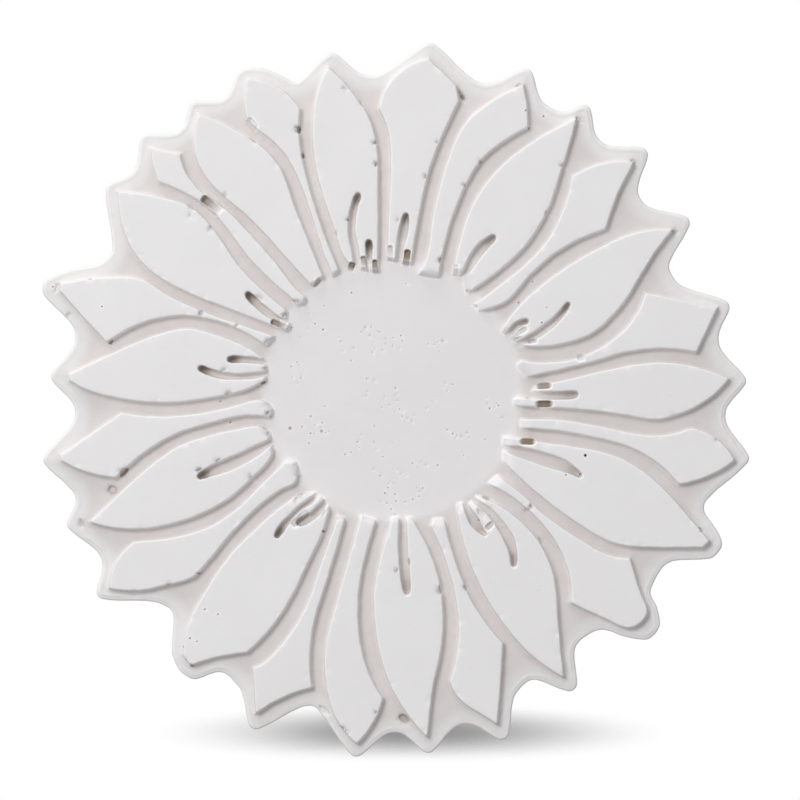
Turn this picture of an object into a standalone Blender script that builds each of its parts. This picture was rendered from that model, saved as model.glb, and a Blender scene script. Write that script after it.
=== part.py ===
# A sunflower cast in plaster: a flower head in low relief on a thin plate that follows the petals.
# Metres, +Z up. The relief looks along -Y, and the origin is in the middle of the flat back.

from math import ceil, cos, pi, radians, sin, tan

import bmesh
import bpy
from mathutils import Vector

# Driving sizes
FLOWER_WIDTH = 0.200        # the plate, from its leftmost to its rightmost tip
PLATE_THICKNESS = 0.009     # flat back to the floor between the petals
RELIEF_HEIGHT = 0.003       # floor to the petals' flat tops
PETAL_DRAFT = 0.0004        # how far a petal's wall leans in on its way up
PETAL_ROOT = 0.001          # depth to which the petals' solids reach into the plate
RIM_ROUND_WIDTH = 0.0014    # the rounded front edge of the plate, measured inwards
RIM_ROUND_HEIGHT = 0.0011   # the same edge, measured down from the floor
RIM_ROUND_STEPS = 2
TIP_ROUND = 0.0023          # radius of the plate's pointed tips, seen from the front
BROAD_TIP_ROUND = 0.0045    # radius of the tips that are drawn with several corners
HOLLOW_ROUND = 0.0068       # radius of the hollows between them
SLOT_CLEARANCE = 0.001      # how far the slot cutters stand out of the petals, above and below

# Fineness of the curved outlines
CURVE_STEP = radians(9)
ARC_STEP = radians(15)
ARC_SHARE = 0.36            # the most of an edge that the arc at either end of it may take up

# The outlines are drawn on a square grid, seen from the front, with x to the right and y down, and the
# flower's proportions are kept in it. The grid's unit is a share of the flower's width.
GRID_WIDTH = 709
GRID_MIDDLE = Vector((396, 399))
UNIT = FLOWER_WIDTH / GRID_WIDTH

# The plate's points, clockwise from the top. Each has the corners of its tip before they are rounded, then
# the corners of the hollow that follows it.
PLATE_POINTS = [
    ([(431, 39)], [(482, 86)]),
    ([(531, 64)], [(541, 100), (561, 112)]),
    ([(590, 100)], [(598, 144)]),
    ([(652, 146)], [(633, 202)]),
    ([(695, 217)], [(668, 266), (679, 284)]),
    ([(734, 302)], [(715, 342)]),
    ([(750, 380)], [(721, 415)]),
    ([(753, 459)], [(701, 506)]),
    ([(718, 530), (725, 545), (714, 559)], [(666, 561), (650, 592)]),
    ([(658, 607), (662, 627), (650, 641), (625, 637)], [(600, 628), (574, 645)]),
    ([(579, 696)], [(531, 678), (514, 696)]),
    ([(508, 746)], [(463, 718)]),
    ([(429, 757)], [(395, 727)]),
    ([(355, 761)], [(314, 706), (302, 707)]),
    ([(250, 734)], [(241, 690), (222, 670)]),
    ([(193, 681), (179, 672), (171, 655)], [(173, 610), (155, 602)]),
    ([(93, 599)], [(105, 558)]),
    ([(64, 526)], [(78, 497)]),
    ([(39, 460)], [(81, 412)]),
    ([(47, 376)], [(82, 335)]),
    ([(41, 293), (42, 279), (66, 269)], [(99, 263), (112, 252)]),
    ([(104, 184)], [(135, 171)]),
    ([(140, 133)], [(181, 131)]),
    ([(190, 99)], [(226, 99)]),
    ([(238, 67), (262, 66), (283, 75)], [(296, 82)]),
    ([(331, 48)], [(369, 80)]),
]

# The petals, clockwise from the top. A petal is a ring of strokes. Each stroke starts at a sharp corner
# and runs smoothly through its points to the corner where the next stroke starts.
PETALS = [
    [[(386, 260), (388, 212), (390, 165), (387, 130)], [(378, 108)], [(383, 91), (404, 67)], [(429, 57)],
     [(457, 84)], [(460, 100), (443, 136), (430, 171), (420, 216)], [(411, 266)]],
    [[(417, 275)], [(424, 261), (432, 215), (446, 162), (463, 124), (489, 101)], [(515, 87)],
     [(524, 81), (528, 103)], [(529, 127), (505, 141), (482, 160), (463, 193), (450, 228)], [(439, 279)]],
    [[(451, 275), (458, 244), (468, 212), (487, 180), (514, 153), (550, 130)],
     [(578, 116), (573, 136), (562, 171), (551, 205), (530, 241), (497, 273)], [(466, 295)], [(462, 277)]],
    [[(473, 304), (499, 284), (528, 260), (549, 236), (564, 204)], [(571, 175), (598, 163)],
     [(636, 160), (620, 191)], [(606, 229), (579, 240), (554, 255), (533, 273)], [(503, 304)], [(478, 312)]],
    [[(500, 332), (513, 311), (536, 288), (564, 267), (602, 245), (636, 231)],
     [(675, 228), (654, 255), (622, 306), (592, 334), (564, 344)], [(520, 346)]],
    [[(516, 365)], [(521, 359), (549, 361), (580, 356), (606, 343), (629, 323)], [(645, 291), (668, 296)],
     [(719, 307)], [(697, 353), (668, 349), (630, 352), (590, 363)], [(525, 378)]],
    [[(530, 391)], [(534, 385), (563, 379), (610, 368), (662, 361), (698, 366)],
     [(731, 378), (705, 402), (675, 416), (655, 420), (628, 416), (592, 411)], [(513, 406)], [(512, 399)]],
    [[(519, 418), (555, 418), (610, 427), (650, 434)], [(693, 427), (712, 434)], [(736, 460), (716, 473)],
     [(679, 485), (654, 461), (628, 447), (590, 437)], [(520, 428)]],
    [[(502, 435), (538, 440), (578, 446), (617, 455), (653, 477), (689, 515)], [(711, 541)],
     [(703, 548), (658, 548), (612, 543), (582, 527), (540, 496), (511, 470)], [(502, 460)]],
    [[(486, 483)], [(497, 473), (520, 491), (547, 515), (582, 539), (610, 554)],
     [(631, 557), (641, 590), (648, 614), (635, 627), (600, 617)],
     [(570, 603), (569, 577), (559, 549), (536, 518), (514, 499)]],
    [[(476, 494), (499, 504), (520, 519), (539, 540), (554, 572), (559, 618)],
     [(565, 679), (536, 660), (500, 620), (478, 583), (463, 543)], [(456, 503)], [(461, 501)], [(469, 501)]],
    [[(444, 517), (451, 543), (461, 573), (472, 599), (487, 622)], [(504, 643), (502, 680)], [(498, 726)],
     [(453, 691)], [(449, 681), (457, 645), (456, 606), (448, 570), (437, 540)], [(430, 526)], [(433, 517)]],
    [[(412, 516), (427, 543), (438, 571), (444, 608), (442, 650), (434, 687)],
     [(428, 739), (405, 712), (386, 677), (375, 630), (373, 593), (378, 563)], [(392, 516)]],
    [[(377, 519), (369, 546), (362, 576), (359, 610), (363, 650), (371, 675)], [(384, 698), (374, 723)],
     [(357, 745), (337, 722), (325, 683), (325, 643), (335, 603), (345, 567)], [(361, 513)]],
    [[(346, 517), (336, 553), (327, 583), (316, 618), (311, 655)], [(313, 688), (290, 695)], [(255, 715)],
     [(252, 667), (264, 661), (283, 641), (303, 610), (320, 563)], [(338, 513)]],
    [[(331, 506), (323, 533), (310, 560), (295, 592), (271, 629)], [(247, 653), (220, 657)], [(190, 666)],
     [(182, 655), (187, 624), (206, 588), (230, 553), (255, 528), (280, 506)], [(302, 492)], [(316, 491)],
     [(325, 498)]],
    [[(295, 483), (271, 497), (251, 514), (230, 536), (211, 559)], [(194, 577), (165, 586), (140, 591)],
     [(108, 589), (111, 570)], [(134, 540), (167, 537), (210, 525), (238, 506), (262, 482)],
     [(284, 461)], [(296, 460), (300, 469)]],
    [[(275, 449), (269, 461), (254, 477), (236, 494), (206, 512), (160, 527), (120, 529)],
     [(88, 522), (118, 494), (148, 466), (180, 444), (213, 433)], [(261, 425), (271, 432)], [(272, 440)]],
    [[(269, 417), (245, 416), (209, 424), (175, 435), (146, 452), (130, 465)], [(116, 478), (92, 474)],
     [(60, 461)], [(60, 454), (83, 438)], [(121, 411), (155, 415), (205, 411)], [(254, 399), (268, 402),
     (274, 411)]],
    [[(268, 379), (249, 389), (212, 398), (170, 403), (115, 398), (84, 389)], [(68, 381)],
     [(68, 373), (101, 357), (155, 334), (187, 327), (220, 335), (245, 345)], [(268, 361)]],
    [[(268, 347), (245, 333), (211, 320), (180, 316), (150, 321)], [(107, 343), (84, 319)], [(59, 291)],
     [(61, 282), (110, 276)], [(142, 278), (170, 295), (205, 311), (245, 325)], [(277, 336)]],
    [[(288, 332), (262, 322), (228, 309), (181, 290), (150, 271), (130, 247), (121, 224)],
     [(117, 190), (157, 195), (193, 207), (215, 229), (236, 260), (263, 289)], [(289, 311)], [(288, 319)],
     [(292, 327)]],
    [[(293, 301), (274, 284), (250, 260), (228, 231), (209, 209), (188, 195)], [(158, 182), (152, 164)],
     [(149, 146)], [(181, 152), (187, 172), (202, 191), (229, 211), (250, 232), (275, 260)],
     [(304, 294), (308, 300), (301, 306)]],
    [[(312, 287), (291, 264), (266, 236), (243, 213), (215, 189), (199, 167), (193, 141)],
     [(198, 112), (236, 129), (265, 148), (283, 170), (293, 198), (306, 231)], [(325, 278)]],
    [[(333, 278), (323, 253), (312, 219), (298, 180), (284, 154)], [(260, 132)], [(246, 117), (243, 98)],
     [(247, 77), (273, 83)], [(301, 108), (300, 133), (306, 170), (315, 202), (331, 248)], [(341, 272)]],
    [[(347, 262), (333, 227), (320, 188), (312, 145), (313, 108), (318, 86)],
     [(328, 65), (352, 90), (371, 119), (378, 147), (379, 190)], [(379, 274)], [(354, 269)]],
]

# The slots pressed into the petals' feet. A slot runs from its round end to its mouth beyond the foot,
# as a place and a width at each point.
SLOTS = [
    [(406, 215, 6), (404, 228, 10), (401, 243, 9), (399, 258, 8), (398, 274, 8)],
    [(493, 237, 7), (485, 244, 11), (478, 252, 11), (472, 261, 10), (467, 270, 8), (461, 278, 4), (456, 286, 5)],
    [(526, 321, 7), (517, 325, 8), (509, 334, 7), (503, 343, 7)],
    [(568, 304, 6), (559, 316, 8), (547, 327, 9), (530, 338, 8), (510, 346, 5)],
    [(575, 394, 8), (560, 395, 9), (540, 395, 9), (520, 394, 8), (505, 394, 8)],
    [(580, 475, 6), (567, 467, 12), (551, 461, 14), (535, 456, 13), (518, 451, 11), (503, 447, 7), (494, 443, 7)],
    [(514, 564, 7), (513, 552, 9), (510, 541, 11), (502, 527, 10), (493, 515, 8), (484, 507, 7), (474, 499, 6),
     (471, 495, 6)],
    [(485, 534, 5), (481, 530, 8), (475, 522, 11), (470, 513, 9), (466, 504, 7), (464, 497, 5)],
    [(407, 592, 7), (405, 572, 10), (403, 545, 10), (403, 520, 9), (403, 506, 9)],
    [(277, 535, 7), (283, 526, 8), (291, 517, 7), (300, 508, 7), (310, 501, 7), (319, 493, 6), (326, 487, 5)],
    [(300, 522, 9), (308, 518, 10), (314, 514, 9), (320, 508, 9), (326, 502, 8), (336, 493, 7)],
    [(200, 476, 7), (208, 472, 10), (224, 466, 13), (240, 459, 13), (257, 450, 11), (270, 442, 7), (282, 436, 7)],
    [(230, 359, 7), (245, 359, 7), (255, 360, 7), (264, 362, 6), (276, 365, 6)],
    [(201, 368, 7), (218, 374, 8), (232, 376, 7), (245, 376, 7), (255, 375, 7), (267, 373, 6), (279, 372, 6)],
    [(248, 294, 7), (260, 306, 8), (270, 314, 8), (279, 319, 6), (288, 321, 4), (298, 324, 4)],
    [(358, 195, 7), (353, 213, 8), (352, 233, 8), (355, 248, 8), (357, 262, 8), (358, 277, 8)],
    [(369, 242, 7), (369, 250, 7), (369, 262, 6), (369, 281, 6)],
]

# Where a petal is broken right across, in the same terms as a slot.
BREAKS = [
    [(206, 200, 11), (214, 206, 12), (221, 212, 12)],
]

PLASTER_COLOUR = (0.80, 0.78, 0.765, 1.0)
PLASTER_ROUGHNESS = 0.85


def from_grid(x, y):
    """A place on the drawing, in metres from the flower's middle, with y up."""
    place = (Vector((x, y)) - GRID_MIDDLE) * UNIT
    return Vector((place.x, -place.y))


def knot_directions(knots):
    """Unit directions in which a smooth curve passes its knots."""
    spans = [after - before for before, after in zip(knots, knots[1:])]
    directions = []
    for before, after in zip(spans, spans[1:]):
        blend = before / before.length_squared + after / after.length_squared
        directions.append(blend.normalized())
    if not directions:
        return [spans[0].normalized()] * 2
    first = 2 * spans[0].normalized() - directions[0]
    last = 2 * spans[-1].normalized() - directions[-1]
    return [first.normalized(), *directions, last.normalized()]


def smooth_curve(knots):
    """Points along a smooth curve through the knots, closer together where it bends more.

    A knot may carry a third value, such as a width, which is blended along with its place."""
    places = [knot.to_2d() for knot in knots]
    directions = knot_directions(places)
    points = [knots[0]]
    for i, (start, end) in enumerate(zip(knots, knots[1:])):
        chord = places[i + 1] - places[i]
        turn = directions[i].angle(chord) + chord.angle(directions[i + 1])
        steps = max(1, ceil(turn / CURVE_STEP))
        for step in range(1, steps + 1):
            t = step / steps
            ease = t * t * (3 - 2 * t)
            point = start.lerp(end, ease)
            leave = directions[i] * chord.length * t * (1 - t) ** 2
            arrive = directions[i + 1] * chord.length * t * t * (t - 1)
            point[0] += leave.x + arrive.x
            point[1] += leave.y + arrive.y
            points.append(point)
    return points


def petal_outline(strokes):
    """The petal's edge: its strokes end to end, each one smooth, with corners between them."""
    outline = []
    for stroke, next_stroke in zip(strokes, strokes[1:] + strokes[:1]):
        knots = [from_grid(*point) for point in stroke + next_stroke[:1]]
        outline += smooth_curve(knots)[:-1]
    return outline


def rounded_outline(corners, radii):
    """A closed outline through the corners, each rounded by an arc of its own radius."""
    outline = []
    count = len(corners)
    for i, corner in enumerate(corners):
        back = corners[i - 1] - corner
        ahead = corners[(i + 1) % count] - corner
        half_angle = back.angle(ahead) / 2
        room = ARC_SHARE * min(back.length, ahead.length)
        radius = min(radii[i], room * tan(half_angle))
        centre = corner + (back.normalized() + ahead.normalized()).normalized() * radius / sin(half_angle)
        arc_start = corner + back.normalized() * radius / tan(half_angle) - centre
        arc_end = corner + ahead.normalized() * radius / tan(half_angle) - centre
        sweep = arc_start.angle_signed(arc_end)
        steps = max(1, ceil(abs(sweep) / ARC_STEP))
        for step in range(steps + 1):
            angle = -sweep * step / steps
            turned = Vector((arc_start.x * cos(angle) - arc_start.y * sin(angle),
                             arc_start.x * sin(angle) + arc_start.y * cos(angle)))
            outline.append(centre + turned)
    return outline


def slot_outline(knots):
    """A channel that follows its middle line, round at its first end and square at its mouth."""
    widths = [width * UNIT for x, y, width in knots]
    line = smooth_curve([Vector((*from_grid(x, y), width)) for (x, y, _), width in zip(knots, widths)])
    directions = knot_directions([point.to_2d() for point in line])
    left = []
    right = []
    for point, direction in zip(line, directions):
        side = direction.orthogonal() * point.z / 2
        left.append(point.to_2d() + side)
        right.append(point.to_2d() - side)
    end = line[0].to_2d()
    reach = left[0] - end
    steps = ceil(pi / (2 * ARC_STEP))
    cap = []
    for step in range(1, steps):
        angle = pi * step / steps
        cap.append(end + reach * cos(angle) - directions[0] * reach.length * sin(angle))
    return left[::-1] + cap + right


def flat_prism(name, outlines, bottom, top):
    """A mesh of straight prisms over the outlines, between two heights, each cap one face."""
    curve = bpy.data.curves.new(name, "CURVE")
    curve.dimensions = "2D"
    curve.fill_mode = "BOTH"
    curve.extrude = (top - bottom) / 2
    for outline in outlines:
        spline = curve.splines.new("POLY")
        spline.points.add(len(outline) - 1)
        for point, place in zip(spline.points, outline):
            point.co = (place.x, place.y, 0, 1)
        spline.use_cyclic_u = True
    drawn = bpy.data.objects.new(name + "_drawing", curve)
    bpy.context.scene.collection.objects.link(drawn)
    bpy.context.view_layer.update()
    evaluated = drawn.evaluated_get(bpy.context.evaluated_depsgraph_get())
    mesh = bpy.data.meshes.new_from_object(evaluated)
    mesh.name = name
    bpy.data.objects.remove(drawn)
    bpy.data.curves.remove(curve)

    solid = bmesh.new()
    solid.from_mesh(mesh)
    bmesh.ops.remove_doubles(solid, verts=solid.verts, dist=1e-6)
    flat_edges = [edge for edge in solid.edges if edge.is_manifold and edge.calc_face_angle() < radians(0.1)]
    bmesh.ops.dissolve_edges(solid, edges=flat_edges)
    bmesh.ops.recalc_face_normals(solid, faces=solid.faces)
    bmesh.ops.translate(solid, verts=solid.verts, vec=(0, 0, (top + bottom) / 2))
    solid.to_mesh(mesh)
    solid.free()
    return mesh


def raise_top(mesh, bands):
    """Carry a prism's top faces on upwards, in bands that each draw in and rise by the given amounts."""
    solid = bmesh.new()
    solid.from_mesh(mesh)
    solid.faces.ensure_lookup_table()
    tops = [face for face in solid.faces if face.normal.z > 0.99]
    for draw_in, rise in bands:
        bmesh.ops.inset_region(solid, faces=tops, thickness=draw_in, depth=rise,
                               use_even_offset=True, use_boundary=True)
    solid.to_mesh(mesh)
    solid.free()


def add_object(name, mesh, collection):
    thing = bpy.data.objects.new(name, mesh)
    collection.objects.link(thing)
    return thing


def add_cutter(name, mesh, collection):
    cutter = add_object(name, mesh, collection)
    cutter.display_type = "WIRE"
    cutter.hide_render = True
    return cutter


def combine(target, tool, operation):
    boolean = target.modifiers.new(operation.lower() + "_" + tool.name, "BOOLEAN")
    boolean.operation = operation
    boolean.object = tool
    boolean.solver = "EXACT"


def plate_mesh():
    """The backing plate, with the round of its front rim."""
    corners = []
    radii = []
    for tip, hollow in PLATE_POINTS:
        corners += [from_grid(*point) for point in tip + hollow]
        tip_round = TIP_ROUND if len(tip) == 1 else BROAD_TIP_ROUND
        radii += [tip_round] * len(tip) + [HOLLOW_ROUND] * len(hollow)
    mesh = flat_prism("plate", [rounded_outline(corners, radii)], 0, PLATE_THICKNESS - RIM_ROUND_HEIGHT)
    bands = []
    for step in range(RIM_ROUND_STEPS):
        lower = step / RIM_ROUND_STEPS * pi / 2
        upper = (step + 1) / RIM_ROUND_STEPS * pi / 2
        bands.append((RIM_ROUND_WIDTH * (cos(lower) - cos(upper)), RIM_ROUND_HEIGHT * (sin(upper) - sin(lower))))
    raise_top(mesh, bands)
    return mesh


def petals_mesh():
    """All petals, rooted in the plate and drawn in towards their flat tops."""
    outlines = [petal_outline(strokes) for strokes in PETALS]
    bottom = PLATE_THICKNESS - PETAL_ROOT
    draft_start = PLATE_THICKNESS - PETAL_ROOT / 2
    mesh = flat_prism("petals", outlines, bottom, draft_start)
    raise_top(mesh, [(PETAL_DRAFT, PLATE_THICKNESS + RELIEF_HEIGHT - draft_start)])
    return mesh


def slots_mesh():
    outlines = [slot_outline(knots) for knots in SLOTS + BREAKS]
    bottom = PLATE_THICKNESS - PETAL_ROOT - SLOT_CLEARANCE
    top = PLATE_THICKNESS + RELIEF_HEIGHT + SLOT_CLEARANCE
    return flat_prism("slots", outlines, bottom, top)


def plaster_material():
    plaster = bpy.data.materials.new("plaster")
    plaster.use_nodes = True
    shader = plaster.node_tree.nodes["Principled BSDF"]
    shader.inputs["Base Color"].default_value = PLASTER_COLOUR
    shader.inputs["Roughness"].default_value = PLASTER_ROUGHNESS
    shader.inputs["Metallic"].default_value = 0.0
    return plaster


def main():
    for thing in list(bpy.data.objects):
        bpy.data.objects.remove(thing, do_unlink=True)
    parts = bpy.data.collections.new("plaster_sunflower")
    cutters = bpy.data.collections.new("cutters")
    bpy.context.scene.collection.children.link(parts)
    bpy.context.scene.collection.children.link(cutters)

    slots = add_cutter("slots", slots_mesh(), cutters)
    petals = add_cutter("petals", petals_mesh(), cutters)
    combine(petals, slots, "DIFFERENCE")

    sunflower = add_object("plaster_sunflower", plate_mesh(), parts)
    combine(sunflower, petals, "UNION")
    sunflower.data.materials.append(plaster_material())

    # The drawing lies flat with its face up. A quarter turn stands it up with its face to -Y.
    for thing in (slots, petals, sunflower):
        thing.rotation_euler = (radians(90), 0, 0)


main()
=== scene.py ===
import math

import bmesh
import bpy
import numpy as np
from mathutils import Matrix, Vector, noise
from mathutils.geometry import delaunay_2d_cdt


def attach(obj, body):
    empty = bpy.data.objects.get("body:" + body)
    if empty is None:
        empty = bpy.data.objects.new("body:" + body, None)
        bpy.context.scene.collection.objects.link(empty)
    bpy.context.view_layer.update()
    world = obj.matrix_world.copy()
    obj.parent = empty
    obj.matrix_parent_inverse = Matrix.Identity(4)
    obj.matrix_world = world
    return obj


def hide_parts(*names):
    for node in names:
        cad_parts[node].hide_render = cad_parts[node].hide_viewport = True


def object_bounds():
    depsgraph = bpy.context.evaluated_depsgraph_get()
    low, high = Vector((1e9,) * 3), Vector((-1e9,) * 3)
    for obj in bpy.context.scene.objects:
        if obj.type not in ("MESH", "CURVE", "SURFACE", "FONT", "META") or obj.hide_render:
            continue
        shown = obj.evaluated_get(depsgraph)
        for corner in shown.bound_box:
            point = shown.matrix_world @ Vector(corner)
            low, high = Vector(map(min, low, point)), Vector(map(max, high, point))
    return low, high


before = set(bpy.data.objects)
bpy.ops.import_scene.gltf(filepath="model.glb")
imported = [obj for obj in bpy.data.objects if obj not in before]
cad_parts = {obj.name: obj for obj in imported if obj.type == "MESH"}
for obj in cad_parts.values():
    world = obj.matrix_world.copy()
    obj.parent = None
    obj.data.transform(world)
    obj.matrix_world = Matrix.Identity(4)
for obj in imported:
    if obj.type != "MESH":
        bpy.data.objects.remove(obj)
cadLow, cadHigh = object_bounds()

# The flower is carved on a drawing in the picture's own pixels, u to the right and v down.
# Heights are in millimetres off the flat back.
picture = {
    "side": 800,
    "flowerWidth": 709,     # leftmost tip to rightmost tip
    "middle": (396, 399),   # the pixel in front of the flower's origin
    "discMiddle": (392, 390),
}
pixel = (cadHigh.x - cadLow.x) / picture["flowerWidth"]
millimetre = 0.001


# World x and z as pixels.
def toPicture(places):
    return np.stack([places[:, 0] / pixel + picture["middle"][0],
                     picture["middle"][1] - places[:, 1] / pixel], 1)


def toWorld(points, heights):
    return np.stack([(points[:, 0] - picture["middle"][0]) * pixel,
                     -heights * millimetre,
                     (picture["middle"][1] - points[:, 1]) * pixel], 1)


def lengthOf(steps):
    return np.linalg.norm(steps, axis=-1)


def ease(t):
    t = np.clip(t, 0, 1)
    return t * t * (3 - 2 * t)


def rises(value, start, over):
    return ease((value - start) / over)


# 1 about a place and 0 from its half width on. Entries that end in At hold the place, the half width
# and the fall, and those that end in From hold where something rises and over how much.
def hump(value, at, half, fall=1):
    return np.clip((half - np.abs(value - at)) / fall, 0, 1)


# A share of the way from the first of a pair to the second.
def between(pair, share):
    return pair[0] + (pair[1] - pair[0]) * share


# Soft noise from -1 to 1, with lumps about that many pixels across.
def cloudy(points, size, seed):
    return np.array([noise.noise((u / size, v / size, seed)) for u, v in points])


# Each use of the soft noise: pixels across its lumps, and its slice.
noises = {"edge": (11, 3.7), "fineEdge": (11 / 3, 8.1), "bead": (45, 40.5), "nick": (7, 14.2),
          "ripple": (26, 5.5), "lump": (7, 31.5), "pit": (3.1, 2.5), "side": (9, 20)}
tiny = 1e-9                 # keeps divisions from zero


# Outlines, read off the flat faces of the cast's solid

outlines = {
    "step": 2.3,            # pixels between points along an edge
    "corner": 33,           # a turn sharper than this many degrees stays a corner
    "wobble": 0.36,         # pixels that a hand-cut edge strays
    "fineWobble": 0.4,      # share of that again in finer waves
    "rimWobble": 0.5,       # the plate's edge strays inwards only
    "closest": 0.3,         # corners nearer to each other than this are one
    "flatness": 2e-6,       # metres that a flat face's points may be off its depth
    "weld": 1e-6,
    "stretch": 0.4,         # a step out at a corner grows by 1 over this at most
}


# The loops round the solid's flat faces at one depth, with the material on their left as seen.
def flatOutlines(node, level):
    solid = bmesh.new()
    solid.from_mesh(node.data)
    bmesh.ops.remove_doubles(solid, verts=solid.verts, dist=outlines["weld"])
    flat = [face for face in solid.faces
            if all(abs(v.co.y - level) < outlines["flatness"] for v in face.verts)]
    edges = {(loop.vert.index, loop.link_loop_next.vert.index) for face in flat for loop in face.loops}
    ahead = {a: b for a, b in edges if (b, a) not in edges}
    solid.verts.ensure_lookup_table()
    loops = []
    while ahead:
        at = next(iter(ahead))
        places = []
        while at in ahead:
            co = solid.verts[at].co
            places.append((co.x, co.z))
            at = ahead.pop(at)
        loops.append(toPicture(np.array(places)))
    solid.free()
    return loops


# The signed turn at each point of a loop.
def turns(loop):
    after = np.roll(loop, -1, 0) - loop
    before = loop - np.roll(loop, 1, 0)
    cross = before[:, 0] * after[:, 1] - before[:, 1] * after[:, 0]
    return np.arctan2(cross, (before * after).sum(1))


# Points spaced evenly along a smooth line through a run of points, without the last.
def throughPoints(run, step):
    spans = np.diff(run, axis=0)
    lengths = lengthOf(spans)
    slopes = spans / lengths[:, None]
    inner = slopes[:-1] * lengths[1:, None] + slopes[1:] * lengths[:-1, None]
    inner /= (lengths[1:] + lengths[:-1])[:, None]
    tangents = np.vstack([slopes[:1], inner, slopes[-1:]])
    marks = np.concatenate([[0], np.cumsum(lengths)])
    count = max(1, round(marks[-1] / step))
    along = np.linspace(0, marks[-1], count + 1)[:-1]
    i = np.clip(np.searchsorted(marks, along, "right") - 1, 0, len(lengths) - 1)
    t = ((along - marks[i]) / lengths[i])[:, None]
    reach = lengths[i][:, None]
    return (run[i] * (1 + 2 * t) * (1 - t) ** 2 + run[i + 1] * t * t * (3 - 2 * t)
            + tangents[i] * reach * t * (1 - t) ** 2 + tangents[i + 1] * reach * t * t * (t - 1))


# A loop with its polygon's facets smoothed out and its true corners kept.
def evenLoop(loop):
    loop = loop[lengthOf(loop - np.roll(loop, 1, 0)) > outlines["closest"]]
    corners = np.flatnonzero(np.abs(turns(loop)) > math.radians(outlines["corner"]))
    if len(corners) == 0:
        wrapped = np.vstack([loop[-3:], loop, loop[:4]])
        points = throughPoints(wrapped, outlines["step"])
        start = np.argmin(lengthOf(points - loop[0]))
        onward = start + 20     # past the start, to find where it is met again
        return points[start:onward + np.argmin(lengthOf(points[onward:] - loop[0]))]
    loop = np.roll(loop, -corners[0], 0)
    ends = list(corners - corners[0]) + [len(loop)]
    closed = np.vstack([loop, loop[:1]])
    return np.vstack([throughPoints(closed[a:b + 1], outlines["step"]) for a, b in zip(ends, ends[1:])])


# Unit directions out of the material, and how much longer a step at a corner has to be.
def outwards(loop):
    after = np.roll(loop, -1, 0) - loop
    after /= lengthOf(after)[:, None]
    before = np.roll(after, 1, 0)
    middle = before + after
    middle /= np.maximum(lengthOf(middle), tiny)[:, None]
    stretch = 1 / np.maximum((middle * after).sum(1), outlines["stretch"])
    return np.stack([-middle[:, 1], middle[:, 0]], 1), stretch


# A loop that strays from its line as a hand-cut edge does.
def strayed(loop, amount, inwards=False):
    out, _ = outwards(loop)
    shift = cloudy(loop, *noises["edge"]) + outlines["fineWobble"] * cloudy(loop, *noises["fineEdge"])
    if inwards:
        shift = -np.abs(shift)
    return loop + out * (shift * amount)[:, None]


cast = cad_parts["plaster_sunflower"]
topLevel = -cadLow.y / millimetre
rim = max((evenLoop(loop[::-1]) for loop in flatOutlines(cast, cadHigh.y)), key=len)
rim = strayed(rim, outlines["rimWobble"], inwards=True)
petals = [strayed(evenLoop(loop), outlines["wobble"]) for loop in flatOutlines(cast, cadLow.y)]
print("outlines:", len(petals), "petal tops,", sum(map(len, petals)), "points, and a rim of", len(rim))


# Distances on the drawing

batch = {"segments": 24, "gaps": 20000, "crossings": 5000}  # how much is worked out at a time
wallReach = 9               # pixels from a petal's edge over which anything changes


# Which points are in the box between two corners.
def inBox(points, low, high):
    return np.flatnonzero(((points > low) & (points < high)).all(1))


# Distance from each point to the nearest of the segments, and which one, out to a reach.
def nearest(points, starts, ends, reach):
    distance = np.full(len(points), float(reach))
    which = np.full(len(points), -1)
    for first in range(0, len(starts), batch["segments"]):
        a, b = starts[first:first + batch["segments"]], ends[first:first + batch["segments"]]
        near = inBox(points, np.minimum(a, b).min(0) - reach, np.maximum(a, b).max(0) + reach)
        along = b - a
        squared = np.maximum((along ** 2).sum(1), tiny)
        for part in np.array_split(near, len(near) // batch["gaps"] + 1):
            offset = points[part][:, None] - a
            t = np.clip((offset * along).sum(2) / squared, 0, 1)
            gap = lengthOf(offset - t[:, :, None] * along)
            best = gap.argmin(1)
            shortest = gap[np.arange(len(part)), best]
            closer = shortest < distance[part]
            distance[part[closer]] = shortest[closer]
            which[part[closer]] = best[closer] + first
    return distance, which


# Whether each point is inside the loops.
def within(points, loops):
    inside = np.zeros(len(points), bool)
    for loop in loops:
        near = inBox(points, loop.min(0), loop.max(0))
        a, b = loop, np.roll(loop, -1, 0)
        rise = np.where(a[:, 1] == b[:, 1], tiny, b[:, 1] - a[:, 1])
        for part in np.array_split(near, len(near) // batch["crossings"] + 1):
            p = points[part][:, None]
            spans = (a[:, 1] > p[:, :, 1]) != (b[:, 1] > p[:, :, 1])
            crossing = a[:, 0] + (p[:, :, 1] - a[:, 1]) / rise * (b[:, 0] - a[:, 0])
            inside[part] ^= (spans & (p[:, :, 0] < crossing)).sum(1) % 2 == 1
    return inside


wallStarts = np.vstack(petals)
wallEnds = np.vstack([np.roll(loop, -1, 0) for loop in petals])
rimEnds = np.roll(rim, -1, 0)


# The points that are inside the rim by more than a margin.
def insideRim(points, margin):
    gap, _ = nearest(points, rim, rimEnds, margin + 1)
    return points[within(points, [rim]) & (gap > margin)]


# Pixels to the petals' top edges, negative on the petals.
def wallDistance(points):
    distance, _ = nearest(points, wallStarts, wallEnds, wallReach)
    return np.where(within(points, petals), -distance, distance)


# Hand work and casting marks, in pixels

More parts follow.
